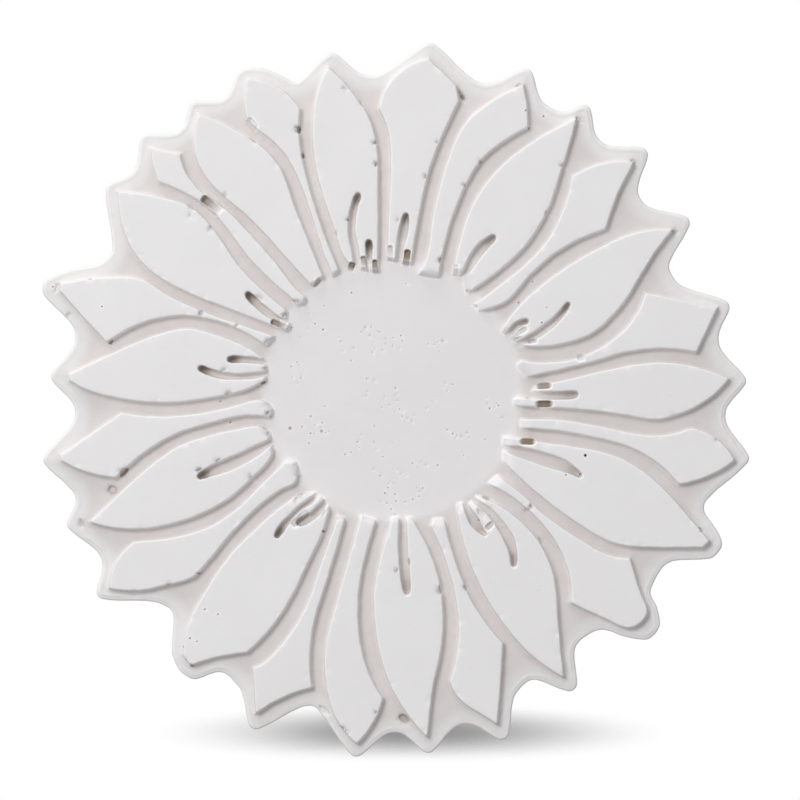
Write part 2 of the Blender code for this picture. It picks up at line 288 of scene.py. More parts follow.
# Slots pressed into the petals' feet, from the round end to the mouth, with its end's grime and painted
# shade.
slots = {
    "reach": 5.5,           # pixels either side of the line
    "endReach": 11,         # pixels from the round end over which it is deeper
    "endDeeper": 0.9,       # millimetres
    "grimeAndShade": 0.2,           # all along
    "grimeAndShadeReach": 3,        # times endReach over which that thins out
    # The slots on the left have their round ends in shade, so those ends are painted darkest.
    "lines": [
        ((406, 217), (402, 240), (399, 262), 0.5), ((492, 239), (478, 253), (463, 273), 0.1),
        ((526, 321), (511, 332), (504, 342), 0.1), ((567, 306), (548, 326), (520, 342), 0.25),
        ((573, 394), (545, 395), (515, 394), 0.15), ((577, 473), (550, 461), (512, 448), 0.15),
        ((514, 561), (508, 536), (484, 507), 0.2), ((484, 532), (473, 518), (465, 500), 0.1),
        ((407, 589), (403, 545), (403, 515), 0.3), ((279, 533), (291, 517), (319, 493), 0.6),
        ((302, 521), (315, 513), (333, 496), 0.1), ((203, 475), (232, 463), (268, 443), 0.9),
        ((233, 359), (250, 359), (270, 363), 0.8), ((204, 369), (232, 376), (270, 373), 0.8),
        ((250, 296), (265, 310), (288, 321), 0.8), ((357, 198), (352, 225), (357, 265), 0.5),
        ((369, 244), (369, 255), (369, 270), 0.8),
    ],
}

# Square pockets cut in the feet: middles of the outer and the inner end, half width, depth in millimetres
# at the outer end, share of it left at the inner end, and its grime with painted shade. Those that keep
# enough
# depth are closed: both ends slope up, and they are grimy and painted dark throughout.
pockets = {
    "closed": 0.5,          # share of the depth from which one is closed
    "corner": 2.6,
    "slope": 3.6,           # how steeply the ends of the closed ones rise
    "pinch": 2.6,           # pixels that their sides draw in at the ends
    "wall": 0.8,            # pixels across its steep sides
    "margin": 3,            # pixels beyond its half width that are looked at
    "belowFloor": 0.2,      # millimetres that it may go below the floor round the petal
    "lighterEnd": 0.8,         # how much less grime and painted shade an open one's inner end has
    "lighterFrom": (0.4, 0.6),  # shares of its length
    "list": [
        ((352.5, 261.5), (350, 271), 3.1, 2.1, 0.2, 1), ((363, 255.5), (364.5, 269), 2.9, 1.7, 0.1, 0.7),
        ((374.7, 259), (375.5, 273.5), 2.7, 1.9, 0, 1), ((390, 245), (390.5, 260), 2.9, 1.6, 0, 0.4),
        ((408, 249), (405.5, 266), 3.3, 1.9, 0, 1), ((456, 264.5), (455.5, 275), 2.6, 0.9, 0, 0.1),
        ((477, 303), (475, 308.5), 2.4, 0.7, 0.5, 0.1), ((321.5, 276), (313, 287.5), 2.2, 1.1, 0.6, 0.35),
        ((527, 327.5), (515, 334.5), 2.6, 1, 0.3, 0.2), ((539, 339.5), (526, 342), 2.3, 1, 0.5, 0.35),
        ((553.5, 384.5), (535, 386.5), 3.1, 2.2, 0.5, 0.85), ((555, 403.5), (534, 403.5), 3.4, 2.3, 0.6, 1),
        ((537.5, 441.5), (518, 441), 3.1, 2.2, 0.6, 1), ((494, 521), (485, 530), 2.8, 1.3, 0.6, 0.35),
        ((292.5, 525), (307, 511), 3.6, 1.4, 0.4, 0.35), ((271, 320.5), (287.5, 327.5), 3, 1.9, 0.2, 1),
        ((247, 116.5), (257.5, 130.5), 3.4, 1.3, 0.9, 0),
        ((577.5, 357.5), (585.5, 356.3), 3.3, 1, 0.3, 0.2),
    ],
}

# Hollows knocked or cast into the plaster: place, half length, half width, turn in degrees, depth in
# millimetres, and how much brown dust and painted shade there is in them.
hollows = {
    "ragged": 0.12,
    "raggedSize": 1.3,      # half widths
    "steepness": 1.7,       # 1 is a round bowl, more has steeper sides and a flatter floor
    "margin": 1.4,          # half lengths that are looked at
    "list": [
        # upper feet
        (467.5, 290.5, 2.2, 1.6, 90, 0.8, 0.4), (296, 301, 5, 1.7, 15, 0.9, 0.4),
        (440.2, 259.5, 3.4, 1.3, 105, 0.9, 0.6), (336, 233, 3.2, 1.3, 80, 0.5, 0.1),
        # right feet
        (518, 338, 4, 1.4, 150, 0.6, 0.1), (531, 506, 2.4, 1.8, 50, 0.9, 0.5),
        (528, 509.5, 4, 2, 160, 0.6, 0.1),
        # lower feet
        (486.5, 498.5, 4.5, 1.5, 20, 0.8, 0.2), (481, 513, 6, 2.4, 50, 0.6, 0.1),
        (458.6, 508, 5, 1.4, 82, 0.7, 0.05), (299, 496, 6, 2.6, 140, 0.8, 0.2),
        (324, 512.5, 3, 1.5, 120, 0.7, 0.2), (338, 518, 2.6, 1.5, 100, 0.5, 0.15),
        (397, 570, 2.6, 1.2, 90, 0.6, 0.4), (409, 561.5, 4, 1.4, 88, 0.6, 0.4),
        (440, 590, 5, 1.2, 80, 0.8, 0.5), (465, 587.5, 3.6, 1.3, 68, 0.8, 0.4),
        # left feet
        (267.5, 413, 2.4, 1.8, 150, 1, 0.5), (267.5, 433.5, 2.3, 1.9, 90, 0.7, 0.3),
        (199, 469.5, 4, 1.4, 160, 0.9, 0.6), (218, 460, 3.6, 1.4, 155, 0.7, 0.4),
        (224, 369.5, 3, 1.4, 160, 0.7, 0.3), (264, 368, 2.4, 1.2, 0, 0.6, 0.3),
        (263, 382, 3, 1.2, 150, 0.8, 0.5), (228, 393, 4, 1.4, 160, 0.7, 0.3),
        (201, 312.5, 3.4, 2.4, 100, 0.9, 0.5), (237, 324.5, 2.2, 1.8, 110, 0.7, 0.4),
        (267, 341, 4.5, 1.7, 135, 0.7, 0.25), (259, 298, 5, 3, 30, 0.5, 0.1),
        (284, 314.5, 3, 1.6, 120, 0.9, 0.4),
        # petals' edges and tips
        (702, 530, 3, 1.6, 50, 0.6, 0.3), (541, 541, 4.6, 1.2, 65, 0.6, 0.2),
        (191.5, 665.5, 2.6, 1.8, 30, 0.7, 0.4), (298.5, 129, 4.4, 2.1, 88, 1.3, 0.9),
        (302.6, 155, 3.2, 1.1, 85, 0.8, 0.7), (375.3, 142, 2.1, 1.2, 90, 0.8, 0.6),
        (376, 164, 2.7, 1.3, 90, 0.9, 0.7), (437, 142, 1.8, 1, 110, 0.6, 0.4),
        (425.5, 176, 2.4, 1.1, 110, 0.7, 0.5), (480.5, 161, 1.7, 1.1, 140, 0.6, 0.4),
        (464.5, 185, 1.6, 1, 120, 0.6, 0.5), (361, 103, 4, 1.3, 65, 0.5, 0.1),
        (345, 88, 3, 1.2, 50, 0.5, 0.2), (461.5, 94, 5.5, 1.7, 60, 0.8, 0.3),
        (561.6, 165, 2, 1.1, 110, 0.6, 0.3), (546, 212, 2, 1.1, 110, 0.6, 0.3),
        (347.8, 219.5, 1.7, 1.2, 90, 0.8, 0.7), (398, 220, 1.6, 1, 95, 0.6, 0.3),
        (224.5, 195, 3.4, 1.4, 35, 0.5, 0.15), (191, 207.5, 5.5, 2.4, 45, 0.5, 0.1),
        (190.5, 215.5, 2.6, 1.4, 0, 0.4, 0.1), (211, 227.5, 3.6, 1.3, 60, 0.6, 0.3),
        (253, 140, 4.5, 1.2, 30, 0.5, 0.1), (56.5, 287, 5, 2.2, 105, 0.6, 0),
        (90, 278.5, 2.2, 1, 0, 0.5, 0.3), (67, 315, 4.5, 2, 130, 0.6, 0.1),
        (111.5, 489.5, 5.2, 4.6, 30, 1.5, 0.15), (123.5, 471.5, 6.5, 3.2, 130, 1, 0.5),
        (81, 523, 5, 2, 70, 0.8, 0.3), (578.5, 118.5, 3.6, 2.2, 65, 1.2, 0.15),
        (634, 161, 4, 2.2, 25, 1, 0.1), (675, 231, 4, 2, 20, 1, 0.1),
        (520, 84, 4.5, 1.8, 160, 0.8, 0.1), (463, 96.5, 4, 2.4, 50, 0.8, 0.5),
        (110, 341, 3, 1.6, 130, 0.8, 0.3), (717.7, 440, 3.6, 1.8, 40, 0.5, 0.1),
        (342.5, 727.5, 2.7, 1.4, 20, 0.7, 0.5), (347, 732, 3.4, 1.8, 70, 0.6, 0),
        (324, 711, 7, 3, 45, 0.7, 0), (404, 719, 6.5, 4.2, 35, 1.3, 0.45),
        (376, 712, 1.8, 1.1, 60, 0.6, 0.4), (198, 573, 1.7, 1.2, 0, 0.6, 0.4),
        (168, 584, 2, 1, 0, 0.6, 0.3), (250.5, 477, 2.7, 1.2, 130, 0.6, 0.4),
    ],
}

# Round holes left by air bubbles: place, radius and depth in millimetres.
bubbles = [
    (585.5, 455, 1.7, 2), (580.5, 474, 1.1, 0.8), (566, 474.5, 1.1, 0.7), (323, 531, 1.3, 1.2),
    (526, 110, 1.2, 0.7), (529, 127, 1.1, 0.6), (700, 528, 1.1, 0.6), (544, 115, 1.2, 0.7),
    (52, 286, 1.1, 0.7), (102, 306, 0.9, 0.8), (205, 609, 1.1, 0.6), (218, 614, 1, 0.6),
    (190, 638, 1.2, 0.7), (197, 641, 1, 0.6), (183, 647, 1, 0.6), (186, 660, 1.1, 0.6),
    (290, 428, 1.9, 0.7), (302, 426.5, 1.1, 0.4), (310.5, 416, 1.2, 0.5), (310.5, 433, 1, 0.5),
    (314, 433, 0.7, 0.4), (321.5, 431, 1.7, 0.6), (309, 443, 0.9, 0.5), (325, 406, 0.9, 0.4),
    (345, 454, 1, 0.5), (351, 452, 0.9, 0.5), (385, 493, 1.1, 0.6), (395, 494, 0.9, 0.5),
    (396, 501, 0.9, 0.5), (387, 503, 0.8, 0.5), (391, 509, 0.9, 0.5), (395, 514, 0.8, 0.5),
    (413, 499, 0.9, 0.5), (419, 496, 0.8, 0.4), (423, 488, 0.9, 0.5), (490, 408, 1.1, 0.6),
    (499, 405, 0.9, 0.5), (453, 433.5, 1.1, 0.5), (457, 435, 0.7, 0.4), (438, 465, 1, 0.5),
    (464, 455, 0.7, 0.4), (485, 439, 0.8, 0.4), (351.5, 292, 1, 0.6), (406, 283, 0.7, 0.4),
    (291, 366, 0.9, 0.5), (323, 329, 1.2, 0.6), (315, 323, 0.9, 0.5), (324, 305, 0.8, 0.4),
    (519, 302, 1.1, 0.6), (533, 281, 1, 0.5), (547, 307, 1.1, 0.4), (542, 322, 1, 0.8),
    (220, 401, 1.2, 0.5), (230, 422, 1.1, 0.7), (401, 335, 1, 0.5), (479, 520, 1.3, 0.7),
]

# Finer ones are strewn over the disc in clusters.
pinpricks = {
    "seed": 5,
    "each": 5,              # round each middle
    "spread": 8,
    "radius": (0.4, 0.85),
    "depth": (0.2, 0.5),
    "middles": [
        (345, 347), (375, 332), (383, 352), (402, 340), (433, 344), (377, 388), (400, 398), (387, 412),
        (412, 418), (455, 432), (361, 449), (382, 462), (388, 480), (405, 492), (488, 404), (300, 330),
        (298, 372), (318, 425), (447, 385), (420, 470),
    ],
}
strewn = np.random.default_rng(pinpricks["seed"])
for middle in pinpricks["middles"]:
    for u, v in strewn.normal(middle, pinpricks["spread"], (pinpricks["each"], 2)):
        share = strewn.random() ** 2  # most are small
        bubbles.append((u, v, between(pinpricks["radius"], share), between(pinpricks["depth"], share)))

# The petal that is broken across: its stalk rises from the break as a ramp between two thin ridges.
broken = {
    "from": (202, 196.5),
    "to": (222, 212.5),
    "halfWidth": 4.0,
    "pastEnd": 1.25,        # shares of its length to which the ridges run on
    "curve": 1.5,           # the ramp starts gently
    "ridge": 0.55,          # share of the petal's rise
    "ridgeAt": (0.4, 1.2),  # pixels outside the half width
    "rampEdge": 0.6,
    # The low end of the ramp is painted brown: grime with painted shade below the break's steep end.
    "grimeAndShade": 0.75,
    "grimeAndShadeEdge": -0.3,
    "grimeAndShadeFade": 1.5,
}


# How far along a line each point is, how far beside it, and the line's length.
def lineUp(points, start, end):
    start, end = np.array(start, float), np.array(end, float)
    length = np.linalg.norm(end - start)
    forward = (end - start) / length
    offset = points - start
    return offset @ forward, np.abs(offset @ np.array((-forward[1], forward[0]))), length


# How far along the break each point is, as a share of its length, and how far outside its sides.
def breakPlace(points):
    along, beside, length = lineUp(points, broken["from"], broken["to"])
    return along / length, beside - broken["halfWidth"]


# The relief's height

relief = {
    "rise": 3.0,            # millimetres from the floor to the petals' tops
    "wall": [(-0.9, 1.0), (-0.45, 0.985), (-0.1, 0.95), (0.2, 0.86), (0.6, 0.6), (1.0, 0.34), (1.35, 0.2),
             (1.8, 0.14), (2.5, 0.09), (3.8, 0.04), (5.6, 0.0)],
    "footRadius": 146,      # pixels from the disc's middle within which a petal's end is a foot
    "footLength": (2.6, 7.5),  # on the left and on the right of the disc
    "footStep": (0.34, 0.16),  # share of the rise left where the foot meets the disc
    "rightFrom": (400, 80),  # pixels across, where those on the left give way to those on the right
    "footApron": 2,
    "footFacing": 0.72,     # 1 is an edge that faces the disc's middle squarely
    "footMargin": 2,        # pixels beyond its length that are looked at
    "footFirst": 1.2,       # a foot counts unless another wall is this much nearer
    "topsBelow": 0.06,      # millimetres below the solid's tops, for the ripples
    "rimRound": 3.4,        # pixels across the plate's rounded edge
    "rimDrop": 0.7,
    "rimFall": 17,          # pixels over which the floor sinks towards the rim
    "rimFallDrop": 0.3,
    "rimReach": 18,         # pixels from the rim over which anything changes
    "bead": 0.2,            # a low roll inside the rounded edge, in places
    "beadAt": (4.6, 2, 2), "beadSharp": 2,
    "ripple": 0.05,
    "topsCalmer": 0.6,      # share of the ripples that the petals' tops are spared
    "lumpy": 0.1,           # in the grooves, cleared by hand
    "pitted": 0.02,
    "bubbleCurve": 0.7,
    "nick": 0.2,            # millimetres that small nicks take off the petals' edges
    "nickOver": 0.3,        # the noise above which there is a nick
    "nickSharp": 4,
    "nickAt": (-0.6, 2.2, 1.2),
    "discFrom": (124, 12),  # pixels from the disc's middle
    "thinnest": 1,          # millimetres that are left everywhere
}

# Dust and painted shade in the grooves, from 0 to 1. Pixels are those from the nearest petal unless it says
# otherwise.
dustAndShade = {
    "least": 0.22,
    "open": 0.44,           # more of it away from the walls
    "openFrom": (0.5, 3.2),
    "narrow": 0.22,         # and more again in narrow grooves
    "narrowFrom": (2, 7),   # where that thins out again
    "rim": 0.25,            # share that is left near the rim
    "rimFrom": (7, 15),     # pixels from the rim
    "disc": 0.13,           # a faint veil on the disc
    "clearOfTops": 0.3,
    "bubble": 0.9,          # for each millimetre of a bubble's depth
    "bubbleReach": 1.25,    # radii
}

# Painted highlight: where the plaster is painted paler, from 0 to 1, in pixels off each edge or radii of a
# bubble.
paintedHighlight = {
    "wall": 0.65, "wallAt": (0.8, 1.7),
    "nick": 0.3,
    "rim": 0.8, "rimFlat": 1.4, "rimOver": 2.6,
    "pocketAt": (0.5, 1.4),
    "pocketEnd": 0.95,      # share of its length
    "hollowFree": 0.6,      # none in a hollow that is deeper than this share
    "bubble": 0.2, "bubbleAt": (1.5, 0.4, 0.4),
}


# The petals' edges that face the disc: their middles, and directions back into the petal.
def footSegments():
    middle = (wallStarts + wallEnds) / 2
    out = wallEnds - wallStarts
    out = np.stack([-out[:, 1], out[:, 0]], 1)
    out /= np.maximum(lengthOf(out), tiny)[:, None]
    radial = middle - np.array(picture["discMiddle"])
    radius = lengthOf(radial)
    facing = (-out * radial).sum(1) / radius
    chosen = np.flatnonzero((facing > relief["footFacing"]) & (radius < relief["footRadius"]))
    return wallStarts[chosen], wallEnds[chosen], -out[chosen]


footStarts, footEnds, footInwards = footSegments()


# How much of the rise is left near the petals' feet, which slope down to the disc.
def footShare(points, wall):
    share = np.ones(len(points))
    distance, which = nearest(points, footStarts, footEnds, relief["footLength"][1] + relief["footMargin"])
    near = np.flatnonzero(which >= 0)
    middle = ((footStarts + footEnds) / 2)[which[near]]
    depth = ((points[near] - middle) * footInwards[which[near]]).sum(1)
    side = rises(middle[:, 0], *relief["rightFrom"])
    step = between(relief["footStep"], side)
    length = between(relief["footLength"], side)
    up = step + (1 - step) * np.clip(depth / length, 0, 1)
    down = step * np.clip(1 + depth / relief["footApron"], 0, 1) ** 2
    ahead = distance[near] < wall[near] + relief["footFirst"]
    share[near] = np.where(depth > 0, up, np.where(ahead, down, 1))
    return share


# The points near a hollow, and how deep each is in an oval with ragged edges, from 0 to 1.
def bowl(points, u, v, halfLength, halfWidth, turn):
    middle, margin = np.array((u, v)), halfLength * hollows["margin"]
    near = inBox(points, middle - margin, middle + margin)
    c, s = math.cos(math.radians(turn)), math.sin(math.radians(turn))
    du, dv = (points[near] - (u, v)).T
    reach = np.hypot((du * c + dv * s) / halfLength, (dv * c - du * s) / halfWidth)
    reach = reach + hollows["ragged"] * cloudy(points[near], halfWidth * hollows["raggedSize"], u)
    return near, np.clip((1 - reach ** 2) * hollows["steepness"], 0, 1)


# The points near a pocket, how far each is outside its sides, and how far along it each is.
def pocketPlace(points, outer, inner, halfWidth):
    reach = halfWidth + pockets["margin"]
    near = inBox(points, np.minimum(outer, inner) - reach, np.maximum(outer, inner) + reach)
    along, beside, length = lineUp(points[near], outer, inner)
    beyond = np.maximum(-along, along - length) + pockets["corner"]
    beside = beside - halfWidth + pockets["corner"]
    gap = np.hypot(np.maximum(beyond, 0), np.maximum(beside, 0)) + np.minimum(np.maximum(beyond, beside), 0)
    return near, gap - pockets["corner"], np.clip(along / length, 0, 1)


# The height of the cast's face at each point, with its masks for the plaster: dust, stain and painted shade,
# and a painted highlight.
def carve(points):
    wall = wallDistance(points)
    rimGap, _ = nearest(points, rim, rimEnds, relief["rimReach"])
    raised = np.interp(wall, *zip(*relief["wall"]))
    foot = footShare(points, wall)

    floor = topLevel - relief["rise"] - relief["rimFallDrop"] * (1 - ease(rimGap / relief["rimFall"]))
    toEdge = np.clip(1 - rimGap / relief["rimRound"], 0, 1)
    floor -= relief["rimDrop"] * (1 - np.sqrt(1 - toEdge ** 2))
    roll = hump(rimGap, *relief["beadAt"]) ** 2
    floor += relief["bead"] * roll * ease(0.5 + relief["beadSharp"] * cloudy(points, *noises["bead"]))
    stainAndShade = np.zeros(len(points))
    # Each slot is painted darker towards its round end: grime with painted shade.
    for *line, grimeAndShade in slots["lines"]:
        line = np.array(line, float)
        toSlot, _ = nearest(points, line[:-1], line[1:], slots["reach"])
        toEnd = lengthOf(points - line[0]) / slots["endReach"]
        inSlot = (toSlot < slots["reach"]) & (wall > 0)
        end = inSlot * (1 - ease(toEnd))
        floor -= slots["endDeeper"] * end
        allAlong = slots["grimeAndShade"] * inSlot * (1 - ease(toEnd / slots["grimeAndShadeReach"]))
        stainAndShade = np.maximum(stainAndShade, np.maximum(allAlong, grimeAndShade * end))

    rise = topLevel - relief["topsBelow"] - floor
    height = floor + rise * raised * foot

    along, beside = breakPlace(points)
    inBreak = (along > 0) & (along < broken["pastEnd"]) & (wall > 0)
    ridge = broken["ridge"] * hump(beside, *broken["ridgeAt"])
    slope = np.clip(along, 0, 1) ** broken["curve"] * (beside < broken["rampEdge"])
    height = np.maximum(height, floor + rise * inBreak * np.maximum(slope, ridge))
    # Brown grime with painted shade at the low end of the break's ramp.
    brownAndShade = np.clip((1 - along) * broken["grimeAndShadeFade"], 0, 1) * (beside < broken["grimeAndShadeEdge"])
    stainAndShade = np.maximum(stainAndShade, broken["grimeAndShade"] * inBreak * brownAndShade)

    nick = ease((cloudy(points, *noises["nick"]) - relief["nickOver"]) * relief["nickSharp"])
    nick *= hump(wall, *relief["nickAt"])
    height -= relief["nick"] * nick
    # Painted highlight along the petals' top edges, on the nicks and on the rim's rounded edge.
    edge = paintedHighlight["wall"] * hump(wall, *paintedHighlight["wallAt"])
    edge = np.maximum(edge, paintedHighlight["nick"] * nick)
    edge = np.maximum(edge, paintedHighlight["rim"] * np.clip(paintedHighlight["rimFlat"] - rimGap / paintedHighlight["rimOver"], 0, 1))
    for outer, inner, halfWidth, deep, innerShare, grimeAndShade in pockets["list"]:
        near, gap, along = pocketPlace(points, outer, inner, halfWidth)
        closed = innerShare >= pockets["closed"]
        if closed:
            gap = gap + pockets["pinch"] * (2 * along - 1) ** 4
        inside = np.clip(0.5 - gap / pockets["wall"], 0, 1)
        if closed:
            inside = inside * ease(np.minimum(along, 1 - along) * pockets["slope"])
        height[near] -= deep * inside * (1 - (1 - innerShare) * along)
        height[near] = np.maximum(height[near], floor[near] - pockets["belowFloor"])
        kept = 1 if closed else 1 - pockets["lighterEnd"] * rises(along, *pockets["lighterFrom"])
        # Grime with painted shade inside the pocket.
        stainAndShade[near] = np.maximum(stainAndShade[near], grimeAndShade * inside ** 2 * kept)
        # Painted highlight on a ridge round the pocket, none inside it.
        ridge = hump(gap, *paintedHighlight["pocketAt"]) * (along < paintedHighlight["pocketEnd"])
        edge[near] = np.where(inside > 0.5, 0, np.maximum(edge[near], ridge))
    for *oval, deep, grimeAndShade in hollows["list"]:
        near, depth = bowl(points, *oval)
        height[near] -= deep * depth
        # Dust with painted shade, darker the deeper the hollow.
        stainAndShade[near] = np.maximum(stainAndShade[near], grimeAndShade * depth)
        # No painted highlight in the deeper part of a hollow.
        edge[near] = np.where(depth > paintedHighlight["hollowFree"], 0, edge[near])
    for u, v, radius, deep in bubbles:
        gap = lengthOf(points - (u, v)) / radius
        height -= deep * np.clip(1 - gap ** 2, 0, 1) ** relief["bubbleCurve"]
        # Dust with painted shade round each bubble, darker the deeper it is.
        stainAndShade = np.maximum(stainAndShade, ease(dustAndShade["bubbleReach"] - gap) * min(1, deep * dustAndShade["bubble"]))
        # Painted highlight on each bubble's rim.
        edge = np.maximum(edge, paintedHighlight["bubble"] * hump(gap, *paintedHighlight["bubbleAt"]))

    fromDisc = lengthOf(points - picture["discMiddle"])
    outside = rises(fromDisc, *relief["discFrom"])
    height += relief["ripple"] * cloudy(points, *noises["ripple"]) * (1 - relief["topsCalmer"] * raised)
    height += relief["lumpy"] * cloudy(points, *noises["lump"]) * (1 - raised) * outside
    height += relief["pitted"] * cloudy(points, *noises["pit"])
    depth = np.clip((topLevel - height) / relief["rise"], 0, 1)
    # Painted shade with the dust: the grooves' floors are tinted darker the deeper they lie and in narrow
    # grooves, less right at the walls and near the rim.
    dustedAndShaded = (dustAndShade["least"] + dustAndShade["open"] * rises(wall, *dustAndShade["openFrom"])
               + dustAndShade["narrow"] * (1 - rises(wall, *dustAndShade["narrowFrom"])))
    dustedAndShaded *= between((dustAndShade["rim"], 1), rises(rimGap, *dustAndShade["rimFrom"]))
    grooveDustAndShade = depth * np.maximum(dustedAndShaded * outside, dustAndShade["disc"]) * (wall > dustAndShade["clearOfTops"])
    height = np.clip(height, relief["thinnest"], topLevel)
    return height, np.stack([grooveDustAndShade, stainAndShade, edge * (1 - stainAndShade)], 1)


# The face's points: rows along every wall and the rim, rings round the bubbles, and a mesh of
# wider spacing between them

rows = {
    "wall": (0.0, 0.45, -0.6, 0.85, 1.3, -1.4, 2.0, 3.2, 4.8),
    "rim": (0.5, 1.1, 1.9, 2.9, 3.7, 4.6, 5.6, 7.4),
    "miss": 0.3,            # a row point may be this far off its distance before it is dropped
    "corner": 25,           # degrees of turn from which an outer row fans out round a corner
    "rings": (0.55, 1.0, 1.5),  # radii round a bubble
    "ringPoints": 8,
    "filler": 5.0,
    "fromRim": 10.5,        # where the filler starts
    "fromWall": 2.6,
    "hollowFiller": 0.85,   # spacing in hollows and pockets
    "hollowMargin": 1.2,    # half lengths
    "pocketMargin": 2,
    "pocketFiller": 1.4,    # pixels round a pocket that are filled as finely
    "breakFiller": 1.0,
    "breakMargin": 6,
    "breakSpan": (-0.05, 1.3),
    "breakWall": 0.3,
    "inRim": 0.6,
    "closest": 0.42,        # one point at most in each square of this side
}


# Rows of points along the petals' edges, at each distance.
def wallRows():
    found = []
    for offset in rows["wall"]:
        for loop in petals:
            out, stretch = outwards(loop)
            row = loop + out * (offset * stretch)[:, None]
            sharp = np.flatnonzero(turns(loop) < -math.radians(rows["corner"])) if offset > 0 else []
            fan = [row]
            for i in sharp:
                for side in (-1, 1):
                    edge = loop[(i + side) % len(loop)] - loop[i]
                    square = np.array((-edge[1], edge[0])) * side / np.linalg.norm(edge)
                    fan.append((loop[i] + square * offset)[None])
            row = np.vstack(fan)
            gap = np.abs(wallDistance(row))
            found.append(row[np.abs(gap - abs(offset)) < rows["miss"]])
    return np.vstack(found)


# Points in a honeycomb between two corners.
def hexes(spacing, low, high):
    across = np.arange(low[0], high[0], spacing)
    down = np.arange(low[1], high[1], spacing * math.sqrt(3) / 2)
    u, v = np.meshgrid(across, down)
    u[1::2] += spacing / 2
    return np.stack([u.ravel(), v.ravel()], 1)


# The points of the face inside the rim.
def facePoints():
    out, stretch = outwards(rim)
    kept = []
    for offset in rows["rim"]:
        row = rim - out * (offset * stretch)[:, None]
        gap, _ = nearest(row, rim, rimEnds, max(rows["rim"]) + 1)
        kept.append(row[np.abs(gap - offset) < rows["miss"]])
    rings = [np.array([(u, v)]) for u, v, _, _ in bubbles]
    angles = np.linspace(0, 2 * math.pi, rows["ringPoints"], endpoint=False)
    circle = np.stack([np.cos(angles), np.sin(angles)], 1)
    for u, v, radius, _ in bubbles:
        for share in rows["rings"]:
            rings.append(np.array((u, v)) + radius * share * circle)
    start, end = np.array(broken["from"]), np.array(broken["to"])
    spots = hexes(rows["breakFiller"], start - rows["breakMargin"], end + rows["breakMargin"])
    along, _ = breakPlace(spots)
    first, last = rows["breakSpan"]
    fine = [spots[(along > first) & (along < last) & (wallDistance(spots) > rows["breakWall"])]]
    for outer, inner, halfWidth, *_ in pockets["list"]:
        margin = rows["pocketMargin"]
        spots = hexes(rows["hollowFiller"], np.minimum(outer, inner) - halfWidth - margin,
                      np.maximum(outer, inner) + halfWidth + margin)
        near, gap, _ = pocketPlace(spots, outer, inner, halfWidth)
        fine.append(spots[near[gap < rows["pocketFiller"]]])
    for u, v, halfLength, halfWidth, turn, *_ in hollows["list"]:
        margin = halfLength * rows["hollowMargin"]
        spots = hexes(rows["hollowFiller"], (u - margin, v - margin), (u + margin, v + margin))
        near, depth = bowl(spots, u, v, halfLength, halfWidth, turn)
        fine.append(spots[near[depth > 0]])
    filler = insideRim(hexes(rows["filler"], rim.min(0), rim.max(0)), rows["fromRim"])
    filler = filler[np.abs(wallDistance(filler)) > rows["fromWall"]]
    points = insideRim(np.vstack([*kept, *rings, *fine, wallRows(), filler]), rows["inRim"])
    cells = np.floor(points / rows["closest"]).astype(int)
    _, first = np.unique(cells, axis=0, return_index=True)
    return points[np.sort(first)]


# A flat mesh over the outline through the points.
def triangulated(outline, points):
    places = np.vstack([outline, points])
    count = len(outline)
    border = [(i, (i + 1) % count) for i in range(count)]
    kind, merging = 1, 1e-4  # only what is inside the outline, and how near two points become one
    made = delaunay_2d_cdt([Vector(p) for p in places], border, [list(range(count))], kind, merging)
    spots = np.array([(v.x, v.y) for v in made[0]])
    kept = {source: i for i, sources in enumerate(made[3]) for source in sources}
    return spots, made[2], [kept[i] for i in range(count)]


points = facePoints()
print("face points:", len(points))
spots, faces, border = triangulated(rim, points)
height, faceMasks = carve(spots)
print("face mesh:", len(spots), "points and", len(faces), "triangles")


# Side walls and back

# Colour masks: dust and painted shade in the grooves, brown stain and painted shade in the holes, and a
# painted highlight along the edges.
maskNames = ("grooveDustAndShade", "stainAndShade", "edge")
sides = {
    "rows": (0.2, 0.45, 0.7, 0.9),  # shares of the way from the front's edge to the back
    "uneven": 0.35,         # pixels that the side strays inwards
    "unevenDrift": 7,       # how far its noise moves on from the front to the back
    "backRound": 0.5,       # millimetres
    "backRows": ((0.3, 0.72), (1.0, 1.0)),  # shares of that inwards and downwards
    "backFiller": 15,
    "backMargin": 9,
}


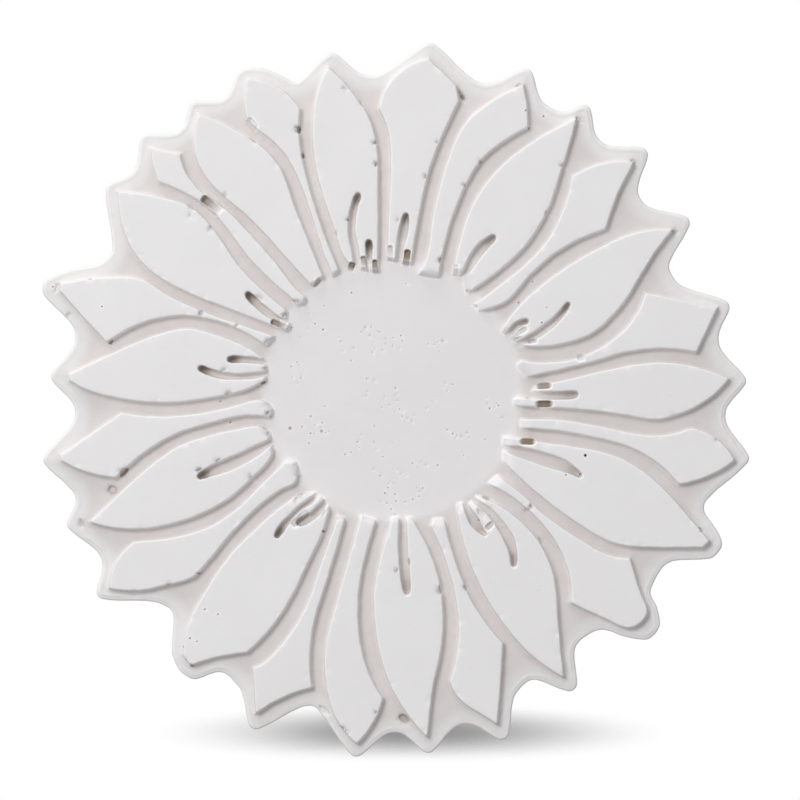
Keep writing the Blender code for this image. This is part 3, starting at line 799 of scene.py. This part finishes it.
# The closed mesh: the carved face, the sides in rows, a small rounding and the flat back.
def sunflowerMesh():
    out, _ = outwards(rim)
    edgeHeight = height[border]
    layers = []
    for share in (*sides["rows"], 1):
        level = sides["backRound"] + (edgeHeight - sides["backRound"]) * (1 - share)
        size, seed = noises["side"]
        stray = np.abs(cloudy(rim, size, seed + share * sides["unevenDrift"]))
        stray = stray * sides["uneven"] * math.sin(math.pi * share)
        layers.append(toWorld(rim - out * stray[:, None], level))
    inset = sides["backRound"] * millimetre / pixel
    for share, drop in sides["backRows"]:
        layers.append(toWorld(rim - out * inset * share, np.full(len(rim), sides["backRound"] * (1 - drop))))
    triangles = [tuple(face) for face in faces]
    ring, total = border, len(spots)
    for _ in layers:
        triangles += band(ring, total)
        ring = list(range(total, total + len(rim)))
        total += len(rim)
    filler = insideRim(hexes(sides["backFiller"], rim.min(0), rim.max(0)), sides["backMargin"])
    back, backFaces, backBorder = triangulated(rim - out * inset, filler)
    index = {spot: ring[i] for i, spot in enumerate(backBorder)}
    triangles += [tuple(index.get(i, total + i) for i in face[::-1]) for face in backFaces]
    places = np.vstack([toWorld(spots, height), *layers, toWorld(back, np.zeros(len(back)))])
    masks = np.vstack([faceMasks, np.zeros((len(places) - len(spots), 3))])

    mesh = bpy.data.meshes.new("sunflowerCast")
    mesh.from_pydata(np.clip(places, cadLow, cadHigh).tolist(), [], triangles)
    solid = bmesh.new()
    solid.from_mesh(mesh)
    marks = [solid.verts.layers.float.new(name) for name in maskNames]
    for vert, values in zip(solid.verts, masks):
        for mark, value in zip(marks, values):
            vert[mark] = value
    for face in list(solid.faces)[len(faces):]:
        face.material_index = 1
    bmesh.ops.delete(solid, geom=[v for v in solid.verts if not v.link_faces], context="VERTS")
    bmesh.ops.recalc_face_normals(solid, faces=solid.faces)
    print("cast mesh:", len(solid.verts), "points,", len(solid.faces), "triangles, open edges",
          sum(not e.is_manifold for e in solid.edges))
    solid.to_mesh(mesh)
    solid.free()
    mesh.shade_smooth()
    return mesh


# Triangles between a ring and the ring of new points that starts at an index.
def band(ring, first):
    count = len(ring)
    made = []
    for i in range(count):
        j = (i + 1) % count
        made += [(ring[i], ring[j], first + j), (ring[i], first + j, first + i)]
    return made


sunflower = bpy.data.objects.new("sunflowerCast", sunflowerMesh())
bpy.context.scene.collection.objects.link(sunflower)
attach(sunflower, "root")
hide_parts("plaster_sunflower")


# Plaster

# An empty node group with its sockets: name, direction, kind and starting value.
def newGroup(name, sockets):
    group = bpy.data.node_groups.new(name, "ShaderNodeTree")
    for label, way, kind, value in sockets:
        socket = group.interface.new_socket(name=label, in_out=way, socket_type="NodeSocket" + kind)
        if value is not None:
            socket.default_value = value
    return group, group.nodes.new("NodeGroupInput"), group.nodes.new("NodeGroupOutput")


# A node with its settings, and what its sockets are linked to or set to.
def addNode(tree, kind, links=(), **settings):
    node = tree.nodes.new("ShaderNode" + kind)
    for name, value in settings.items():
        setattr(node, name, value)  # a group's tree comes before its sockets
    for socket, source in dict(links).items():
        if isinstance(source, bpy.types.NodeSocket):
            tree.links.new(source, node.inputs[socket])
        else:
            node.inputs[socket].default_value = source
    return node


def maths(tree, operation, a, b, **settings):
    return addNode(tree, "Math", {0: a, 1: b}, operation=operation, **settings).outputs[0]


def mixColour(tree, amount, under, over):
    return addNode(tree, "Mix", {0: amount, "A": under, "B": over}, data_type="RGBA").outputs["Result"]


# Fine grain of set plaster: a height for bumps and a mask for faint mottling.
def plasterGrainGroup():
    tree, given, result = newGroup("plasterGrain", [
        ("Scale", "INPUT", "Float", 900.0), ("Mottle Scale", "INPUT", "Float", 40.0),
        ("Height", "OUTPUT", "Float", None), ("Mottle", "OUTPUT", "Float", None)])
    where = addNode(tree, "TexCoord").outputs["Object"]
    fine = addNode(tree, "TexNoise", {"Vector": where, "Scale": given.outputs["Scale"], "Detail": 4.0,
                                      "Roughness": 0.6})
    broad = addNode(tree, "TexNoise", {"Vector": where, "Scale": given.outputs["Mottle Scale"],
                                       "Detail": 5.0, "Roughness": 0.65})
    tree.links.new(fine.outputs["Fac"], result.inputs["Height"])
    tree.links.new(broad.outputs["Fac"], result.inputs["Mottle"])
    return tree


# Pinholes of many sizes: a mask that is 1 in a hole.
def pinholesGroup():
    tree, given, result = newGroup("pinholes", [
        ("Scale", "INPUT", "Float", 300.0), ("Share", "INPUT", "Float", 0.2),
        ("Size", "INPUT", "Float", 0.2), ("Sharpness", "INPUT", "Float", 14.0),
        ("Mask", "OUTPUT", "Float", None)])
    where = addNode(tree, "TexCoord").outputs["Object"]
    cells = addNode(tree, "TexVoronoi", {"Vector": where, "Scale": given.outputs["Scale"]})
    chance = addNode(tree, "SeparateColor", {"Color": cells.outputs["Color"]})
    radius = maths(tree, "MULTIPLY", chance.outputs["Green"], given.outputs["Size"])
    depth = maths(tree, "SUBTRACT", radius, cells.outputs["Distance"])
    sharp = maths(tree, "MULTIPLY", depth, given.outputs["Sharpness"], use_clamp=True)
    chosen = maths(tree, "LESS_THAN", chance.outputs["Red"], given.outputs["Share"])
    tree.links.new(maths(tree, "MULTIPLY", sharp, chosen), result.inputs["Mask"])
    return tree


# Tints a colour where a mask says that there is dust and painted shade, more in some places than others.
def dustAndShadeTintGroup():
    tree, given, result = newGroup("dustAndShadeTint", [
        ("Colour", "INPUT", "Color", None), ("Dust And Shade", "INPUT", "Color", None),
        ("Mask", "INPUT", "Float", 0.0), ("Patch Scale", "INPUT", "Float", 120.0),
        ("Colour", "OUTPUT", "Color", None)])
    where = addNode(tree, "TexCoord").outputs["Object"]
    patches = addNode(tree, "TexNoise", {"Vector": where, "Scale": given.outputs["Patch Scale"],
                                         "Detail": 3.0})
    patchy = addNode(tree, "MapRange", {"Value": patches.outputs["Fac"], "From Min": 0.25,
                                        "From Max": 0.6, "To Min": 0.75, "To Max": 1.0})
    amount = maths(tree, "MULTIPLY", given.outputs["Mask"], patchy.outputs["Result"], use_clamp=True)
    mixed = mixColour(tree, amount, given.outputs["Colour"], given.outputs["Dust And Shade"])
    tree.links.new(mixed, result.inputs["Colour"])
    return tree


faceFinish = {
    "colour": (0.80, 0.788, 0.80, 1),
    "mottled": (0.775, 0.762, 0.77, 1),
    # painted highlight along the edges
    "edge": (0.97, 0.955, 0.945, 1),
    # dust and painted shade in the grooves
    "grooveDustAndShadeTint": (0.58, 0.525, 0.50, 1),
    # brown stain and painted shade in the holes
    "holeStainAndShadeTint": (0.25, 0.19, 0.14, 1),
    # painted shade in the pinholes
    "pinholeShade": (0.50, 0.48, 0.47, 1),
    "roughness": (0.78, 0.94),
    "bump": 0.00004,        # metres
    "grain": {"Scale": 900, "Mottle Scale": 40},
    "holes": {"Scale": 300, "Share": 0.35, "Size": 0.15},
    "patches": 120,
    "mottling": (0.35, 0.7),  # where in the noise the mottled colour starts and is full
    "specular": 0.25,
}
# The sides and the back were wiped with a wet hand and left.
backFinish = faceFinish | {
    "colour": (0.79, 0.77, 0.765, 1),
    "mottled": (0.70, 0.67, 0.65, 1),
    "edge": (0.79, 0.77, 0.765, 1),
    # dust and painted shade in the grooves
    "grooveDustAndShadeTint": (0.66, 0.61, 0.585, 1),
    # brown stain and painted shade in the holes
    "holeStainAndShadeTint": (0.46, 0.385, 0.32, 1),
    # painted shade in the pinholes
    "pinholeShade": (0.42, 0.39, 0.37, 1),
    "roughness": (0.82, 0.97),
    "bump": 0.00009,
    "grain": {"Scale": 420, "Mottle Scale": 22},
    "holes": {"Scale": 230, "Share": 0.3, "Size": 0.2},
    "patches": 60,
}
grainGroup, holesGroup, dustAndShadeTree = plasterGrainGroup(), pinholesGroup(), dustAndShadeTintGroup()


# The plaster: mottled, with pinholes painted dark as shade, a painted highlight along the edges, and dust,
# stain and painted shade in the grooves and hollows.
def plasterMaterial(name, finish):
    material = bpy.data.materials.new(name)
    material.use_nodes = True
    tree = material.node_tree
    shader = tree.nodes["Principled BSDF"]
    grain = addNode(tree, "Group", finish["grain"].items(), node_tree=grainGroup)
    holes = addNode(tree, "Group", finish["holes"].items(), node_tree=holesGroup)
    grooveDustAndShadeMask, stainAndShadeMask, highlightMask = (
        addNode(tree, "Attribute", attribute_name=mask).outputs["Fac"] for mask in maskNames)
    mottle = addNode(tree, "MapRange", {"Value": grain.outputs["Mottle"], "From Min": finish["mottling"][0],
                                        "From Max": finish["mottling"][1]})
    colour = mixColour(tree, mottle.outputs["Result"], finish["colour"], finish["mottled"])
    # The pinholes are painted darker: painted shade.
    colour = mixColour(tree, holes.outputs["Mask"], colour, finish["pinholeShade"])
    # Painted highlight along the edges.
    colour = mixColour(tree, highlightMask, colour, finish["edge"])
    # Dust and painted shade in the grooves, then brown stain and painted shade in the holes.
    for mask, tint in ((grooveDustAndShadeMask, "grooveDustAndShadeTint"), (stainAndShadeMask, "holeStainAndShadeTint")):
        dustedAndShaded = addNode(tree, "Group", {"Colour": colour, "Dust And Shade": finish[tint], "Mask": mask,
                                          "Patch Scale": finish["patches"]}, node_tree=dustAndShadeTree)
        colour = dustedAndShaded.outputs["Colour"]
    tree.links.new(colour, shader.inputs["Base Color"])
    rough = addNode(tree, "MapRange", {"Value": grain.outputs["Height"], "To Min": finish["roughness"][0],
                                       "To Max": finish["roughness"][1]})
    tree.links.new(rough.outputs["Result"], shader.inputs["Roughness"])
    sunk = maths(tree, "SUBTRACT", grain.outputs["Height"], holes.outputs["Mask"])
    bump = addNode(tree, "Bump", {"Height": sunk, "Distance": finish["bump"], "Strength": 1.0})
    tree.links.new(bump.outputs["Normal"], shader.inputs["Normal"])
    shader.inputs["Specular IOR Level"].default_value = finish["specular"]
    return material


for name, finish in (("plasterFace", faceFinish), ("plasterBack", backFinish)):
    sunflower.data.materials.append(plasterMaterial(name, finish))
print("plaster made")


# Floor, light and camera

studio = {
    "floorHalf": 0.9,
    "floorGap": 0.0002,     # metres below the lowest tip
    # The grey floor shows only in a soft patch behind the flower: a painted shadow, darkened further by the
    # lamps' real shadow.
    "floorShadowColour": (0.55, 0.55, 0.55, 1),
    "floorRoughness": 0.9,
    "shadowPatchReach": (0.082, 0.125),  # half width and half depth of the painted shadow patch that the floor shows, in metres
    "shadowPatchMiddle": (0.004, 0.09),
    "shadowPatchFade": (0.1, 1.0),  # shares of the reach between which it fades out
    "world": 0.41,
    "lamps": {
        "keyLight": {"at": (-0.48, -1.26, 0.45), "size": 0.45, "power": 10.8},
        "topLight": {"at": (-0.5, -0.45, 1.4), "size": 1.0, "power": 7},
    },
    "cameraDistance": 1.2,
    "cameraDrop": 0.5,      # pixels
    "sensor": 36,
}


# A pale room, a grey floor that shows only as a painted shadow patch below the flower, two lamps and the
# camera.
def buildStudio():
    scene = bpy.context.scene
    scene.view_settings.view_transform = "Standard"
    world = bpy.data.worlds.new("paleRoom")
    world.use_nodes = True
    tree = world.node_tree
    light = tree.nodes["Background"]
    light.inputs["Color"].default_value = (1, 1, 1, 1)
    light.inputs["Strength"].default_value = studio["world"]
    seen = addNode(tree, "Background", {"Color": (1, 1, 1, 1), "Strength": 1.0})
    ray = addNode(tree, "LightPath")
    mixed = addNode(tree, "MixShader", {0: ray.outputs["Is Camera Ray"], 1: light.outputs[0],
                                        2: seen.outputs[0]})
    tree.links.new(mixed.outputs[0], tree.nodes["World Output"].inputs["Surface"])
    scene.world = world

    half = studio["floorHalf"]
    floorMesh = bpy.data.meshes.new("studioFloor")
    level = cadLow.z - studio["floorGap"]
    floorMesh.from_pydata([(-half, -half, level), (half, -half, level), (half, half, level),
                           (-half, half, level)], [], [(0, 1, 2, 3)])
    floor = bpy.data.objects.new("studioFloor", floorMesh)
    scene.collection.objects.link(floor)
    # Grey, and see-through outside a soft ellipse: a painted shadow patch that the lamps' real shadow
    # darkens further.
    shadowPatch = bpy.data.materials.new("floorShadowPatch")
    shadowPatch.use_nodes = True
    tree = shadowPatch.node_tree
    shader = tree.nodes["Principled BSDF"]
    shader.inputs["Base Color"].default_value = studio["floorShadowColour"]
    shader.inputs["Roughness"].default_value = studio["floorRoughness"]
    where = addNode(tree, "TexCoord").outputs["Object"]
    x, y = studio["shadowPatchMiddle"]
    wide, deep = studio["shadowPatchReach"]
    spread = addNode(tree, "Mapping", {"Vector": where, "Location": (-x / wide, -y / deep, 0),
                                       "Scale": (1 / wide, 1 / deep, 0)})
    reach = addNode(tree, "VectorMath", {0: spread.outputs["Vector"]}, operation="LENGTH")
    fade = addNode(tree, "MapRange", {"Value": reach.outputs["Value"], "From Min": studio["shadowPatchFade"][0],
                                      "From Max": studio["shadowPatchFade"][1], "To Min": 1.0, "To Max": 0.0},
                   interpolation_type="SMOOTHSTEP")
    tree.links.new(fade.outputs["Result"], shader.inputs["Alpha"])
    floorMesh.materials.append(shadowPatch)

    for name, values in studio["lamps"].items():
        light = bpy.data.lights.new(name, "AREA")
        light.size = values["size"]
        light.energy = values["power"]
        lamp = bpy.data.objects.new(name, light)
        lamp.location = values["at"]
        lamp.rotation_euler = (-Vector(values["at"])).to_track_quat("-Z", "Y").to_euler()
        scene.collection.objects.link(lamp)

    camera = bpy.data.cameras.new("studioCamera")
    camera.sensor_width = studio["sensor"]
    camera.lens = studio["sensor"] * studio["cameraDistance"] / (picture["side"] * pixel)
    view = bpy.data.objects.new("studioCamera", camera)
    middle = picture["side"] / 2
    view.location = ((middle - picture["middle"][0]) * pixel, cadLow.y - studio["cameraDistance"],
                     (picture["middle"][1] + studio["cameraDrop"] - middle) * pixel)
    view.rotation_euler = (math.radians(90), 0, 0)
    scene.collection.objects.link(view)
    scene.camera = view


buildStudio()
print("studio ready")
